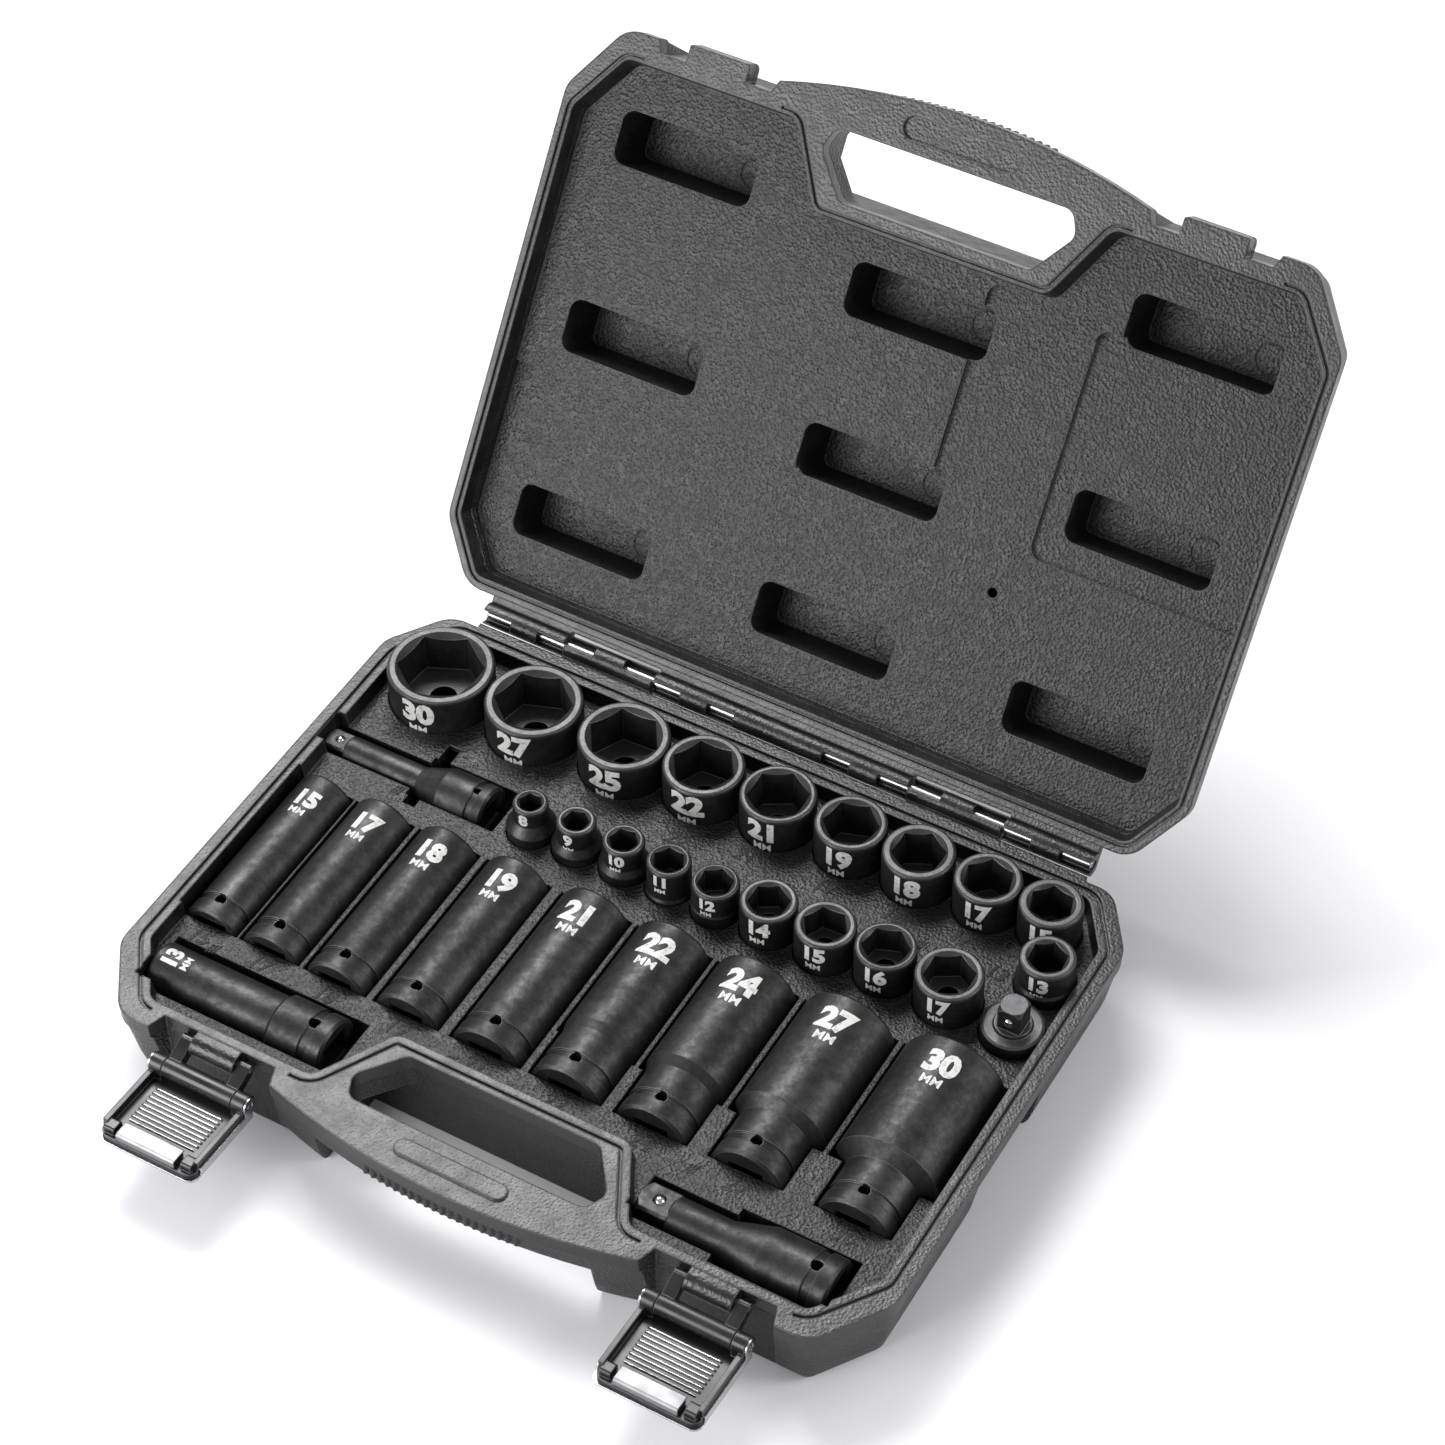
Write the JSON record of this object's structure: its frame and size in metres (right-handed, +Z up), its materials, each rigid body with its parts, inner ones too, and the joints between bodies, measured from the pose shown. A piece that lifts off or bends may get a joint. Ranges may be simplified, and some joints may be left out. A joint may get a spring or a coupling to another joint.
{
  "type": "socket wrench set in case",
  "caption": "Hinged carry case with two over-centre latches holding impact sockets, extension bars and a drive adaptor in fitted pockets.",
  "frame": {"origin": "centre of the case base's underside, on the plane of its feet", "axes": "+X along the hinge to the right, +Y from the handle towards the hinge, +Z up"},
  "size_m": [0.324, 0.4383, 0.2431],
  "materials": {
    "case_plastic": "fine pebble grain, rims smoother",
    "flap_plastic": "satin moulded black",
    "link_plastic": "satin black",
    "bright_cover": "bright plated sheet",
    "bright_pin": "drawn wire, bright",
    "bright_ball": "polished ball",
    "spring_wire": "spring wire",
    "black_steel": "black phosphate with a light oil sheen"
  },
  "bodies": {
    "case_base": {"base_shell": "case_plastic", "hinge_pin": "bright_pin", "latch_left_pivot_pin": "bright_pin", "latch_right_pivot_pin": "bright_pin"},
    "lid": {"lid_shell": "case_plastic"},
    "left_link": {"latch_left_link": "link_plastic"},
    "left_flap": {"latch_left_flap": "flap_plastic", "latch_left_cover": "bright_cover", "latch_left_hinge_pin": "bright_pin"},
    "right_link": {"latch_right_link": "link_plastic"},
    "right_flap": {"latch_right_flap": "flap_plastic", "latch_right_cover": "bright_cover", "latch_right_hinge_pin": "bright_pin"},
    "adaptor": {"adaptor": "black_steel"},
    "bar_half": {"bar_half": "black_steel", "bar_half_spring": "spring_wire"},
    "bar_three": {"bar_three": "black_steel", "bar_three_spring": "spring_wire"},
    "socket_deep_13": {"socket_deep_13": "black_steel"},
    "socket_deep_15": {"socket_deep_15": "black_steel"},
    "socket_deep_17": {"socket_deep_17": "black_steel"},
    "socket_deep_18": {"socket_deep_18": "black_steel"},
    "socket_deep_19": {"socket_deep_19": "black_steel"},
    "socket_deep_21": {"socket_deep_21": "black_steel"},
    "socket_deep_22": {"socket_deep_22": "black_steel"},
    "socket_deep_24": {"socket_deep_24": "black_steel"},
    "socket_deep_27": {"socket_deep_27": "black_steel"},
    "socket_deep_30": {"socket_deep_30": "black_steel"},
    "socket_half_13": {"socket_half_13": "black_steel"},
    "socket_half_15": {"socket_half_15": "black_steel"},
    "socket_half_17": {"socket_half_17": "black_steel"},
    "socket_half_18": {"socket_half_18": "black_steel"},
    "socket_half_19": {"socket_half_19": "black_steel"},
    "socket_half_21": {"socket_half_21": "black_steel"},
    "socket_half_22": {"socket_half_22": "black_steel"},
    "socket_half_25": {"socket_half_25": "black_steel"},
    "socket_half_27": {"socket_half_27": "black_steel"},
    "socket_half_30": {"socket_half_30": "black_steel"},
    "socket_three_10": {"socket_three_10": "black_steel"},
    "socket_three_11": {"socket_three_11": "black_steel"},
    "socket_three_12": {"socket_three_12": "black_steel"},
    "socket_three_14": {"socket_three_14": "black_steel"},
    "socket_three_15": {"socket_three_15": "black_steel"},
    "socket_three_16": {"socket_three_16": "black_steel"},
    "socket_three_17": {"socket_three_17": "black_steel"},
    "socket_three_8": {"socket_three_8": "black_steel"},
    "socket_three_9": {"socket_three_9": "black_steel"},
    "bar_half_ball": {"bar_half_ball": "bright_ball"},
    "bar_three_ball": {"bar_three_ball": "bright_ball"},
    "adaptor_ball": {"adaptor_ball": "bright_ball"}
  },
  "joints": [
    {"name": "lid_hinge", "type": "hinge", "parent": "case_base", "child": "lid", "pos_m": [0, 0.1216, 0.0381], "axis": [-1, 0, 0], "range_deg": [-124.3, 0]},
    {"name": "left_link_hinge", "type": "hinge", "parent": "case_base", "child": "left_link", "pos_m": [-0.103, -0.1105, 0.032], "axis": [1, 0, 0], "range_deg": [-7.3, 48]},
    {"name": "left_flap_hinge", "type": "hinge", "parent": "left_link", "child": "left_flap", "pos_m": [-0.103, -0.12152, 0.0275], "axis": [1, 0, 0], "range_deg": [-133.8, 20]},
    {"name": "right_link_hinge", "type": "hinge", "parent": "case_base", "child": "right_link", "pos_m": [0.103, -0.1105, 0.032], "axis": [1, 0, 0], "range_deg": [-7.3, 48]},
    {"name": "right_flap_hinge", "type": "hinge", "parent": "right_link", "child": "right_flap", "pos_m": [0.103, -0.12152, 0.0275], "axis": [1, 0, 0], "range_deg": [-133.8, 20]},
    {"name": "adaptor_lift", "type": "slide", "parent": "case_base", "child": "adaptor", "axis": [0, 0, 1], "range_m": [0, 0.05]},
    {"name": "bar_half_lift", "type": "slide", "parent": "case_base", "child": "bar_half", "axis": [0, 0, 1], "range_m": [0, 0.05]},
    {"name": "bar_three_lift", "type": "slide", "parent": "case_base", "child": "bar_three", "axis": [0, 0, 1], "range_m": [0, 0.05]},
    {"name": "socket_deep_13_lift", "type": "slide", "parent": "case_base", "child": "socket_deep_13", "axis": [0, 0, 1], "range_m": [0, 0.05]},
    {"name": "socket_deep_15_lift", "type": "slide", "parent": "case_base", "child": "socket_deep_15", "axis": [0, 0, 1], "range_m": [0, 0.05]},
    {"name": "socket_deep_17_lift", "type": "slide", "parent": "case_base", "child": "socket_deep_17", "axis": [0, 0, 1], "range_m": [0, 0.05]},
    {"name": "socket_deep_18_lift", "type": "slide", "parent": "case_base", "child": "socket_deep_18", "axis": [0, 0, 1], "range_m": [0, 0.05]},
    {"name": "socket_deep_19_lift", "type": "slide", "parent": "case_base", "child": "socket_deep_19", "axis": [0, 0, 1], "range_m": [0, 0.05]},
    {"name": "socket_deep_21_lift", "type": "slide", "parent": "case_base", "child": "socket_deep_21", "axis": [0, 0, 1], "range_m": [0, 0.05]},
    {"name": "socket_deep_22_lift", "type": "slide", "parent": "case_base", "child": "socket_deep_22", "axis": [0, 0, 1], "range_m": [0, 0.05]},
    {"name": "socket_deep_24_lift", "type": "slide", "parent": "case_base", "child": "socket_deep_24", "axis": [0, 0, 1], "range_m": [0, 0.05]},
    {"name": "socket_deep_27_lift", "type": "slide", "parent": "case_base", "child": "socket_deep_27", "axis": [0, 0, 1], "range_m": [0, 0.05]},
    {"name": "socket_deep_30_lift", "type": "slide", "parent": "case_base", "child": "socket_deep_30", "axis": [0, 0, 1], "range_m": [0, 0.05]},
    {"name": "socket_half_13_lift", "type": "slide", "parent": "case_base", "child": "socket_half_13", "axis": [0, 0, 1], "range_m": [0, 0.05]},
    {"name": "socket_half_15_lift", "type": "slide", "parent": "case_base", "child": "socket_half_15", "axis": [0, 0, 1], "range_m": [0, 0.05]},
    {"name": "socket_half_17_lift", "type": "slide", "parent": "case_base", "child": "socket_half_17", "axis": [0, 0, 1], "range_m": [0, 0.05]},
    {"name": "socket_half_18_lift", "type": "slide", "parent": "case_base", "child": "socket_half_18", "axis": [0, 0, 1], "range_m": [0, 0.05]},
    {"name": "socket_half_19_lift", "type": "slide", "parent": "case_base", "child": "socket_half_19", "axis": [0, 0, 1], "range_m": [0, 0.05]},
    {"name": "socket_half_21_lift", "type": "slide", "parent": "case_base", "child": "socket_half_21", "axis": [0, 0, 1], "range_m": [0, 0.05]},
    {"name": "socket_half_22_lift", "type": "slide", "parent": "case_base", "child": "socket_half_22", "axis": [0, 0, 1], "range_m": [0, 0.05]},
    {"name": "socket_half_25_lift", "type": "slide", "parent": "case_base", "child": "socket_half_25", "axis": [0, 0, 1], "range_m": [0, 0.05]},
    {"name": "socket_half_27_lift", "type": "slide", "parent": "case_base", "child": "socket_half_27", "axis": [0, 0, 1], "range_m": [0, 0.05]},
    {"name": "socket_half_30_lift", "type": "slide", "parent": "case_base", "child": "socket_half_30", "axis": [0, 0, 1], "range_m": [0, 0.05]},
    {"name": "socket_three_10_lift", "type": "slide", "parent": "case_base", "child": "socket_three_10", "axis": [0, 0, 1], "range_m": [0, 0.05]},
    {"name": "socket_three_11_lift", "type": "slide", "parent": "case_base", "child": "socket_three_11", "axis": [0, 0, 1], "range_m": [0, 0.05]},
    {"name": "socket_three_12_lift", "type": "slide", "parent": "case_base", "child": "socket_three_12", "axis": [0, 0, 1], "range_m": [0, 0.05]},
    {"name": "socket_three_14_lift", "type": "slide", "parent": "case_base", "child": "socket_three_14", "axis": [0, 0, 1], "range_m": [0, 0.05]},
    {"name": "socket_three_15_lift", "type": "slide", "parent": "case_base", "child": "socket_three_15", "axis": [0, 0, 1], "range_m": [0, 0.05]},
    {"name": "socket_three_16_lift", "type": "slide", "parent": "case_base", "child": "socket_three_16", "axis": [0, 0, 1], "range_m": [0, 0.05]},
    {"name": "socket_three_17_lift", "type": "slide", "parent": "case_base", "child": "socket_three_17", "axis": [0, 0, 1], "range_m": [0, 0.05]},
    {"name": "socket_three_8_lift", "type": "slide", "parent": "case_base", "child": "socket_three_8", "axis": [0, 0, 1], "range_m": [0, 0.05]},
    {"name": "socket_three_9_lift", "type": "slide", "parent": "case_base", "child": "socket_three_9", "axis": [0, 0, 1], "range_m": [0, 0.05]},
    {"name": "bar_half_ball_press", "type": "slide", "parent": "bar_half", "child": "bar_half_ball", "axis": [0, 0, 1], "range_m": [-0.001, 0], "stiffness_N_per_m": 400, "springref_m": 0.0008, "deforming": ["bar_half_spring"]},
    {"name": "bar_three_ball_press", "type": "slide", "parent": "bar_three", "child": "bar_three_ball", "axis": [0, 0, 1], "range_m": [-0.001, 0], "stiffness_N_per_m": 400, "springref_m": 0.0008, "deforming": ["bar_three_spring"]},
    {"name": "adaptor_ball_press", "type": "slide", "parent": "adaptor", "child": "adaptor_ball", "axis": [0, -1, 0], "range_m": [-0.001, 0], "stiffness_N_per_m": 400, "springref_m": 0.0008}
  ],
  "couplings": [
    {"joint": "left_link_hinge", "follows": "left_flap_hinge", "ratio": -0.3572},
    {"joint": "right_link_hinge", "follows": "right_flap_hinge", "ratio": -0.3572}
  ]
}
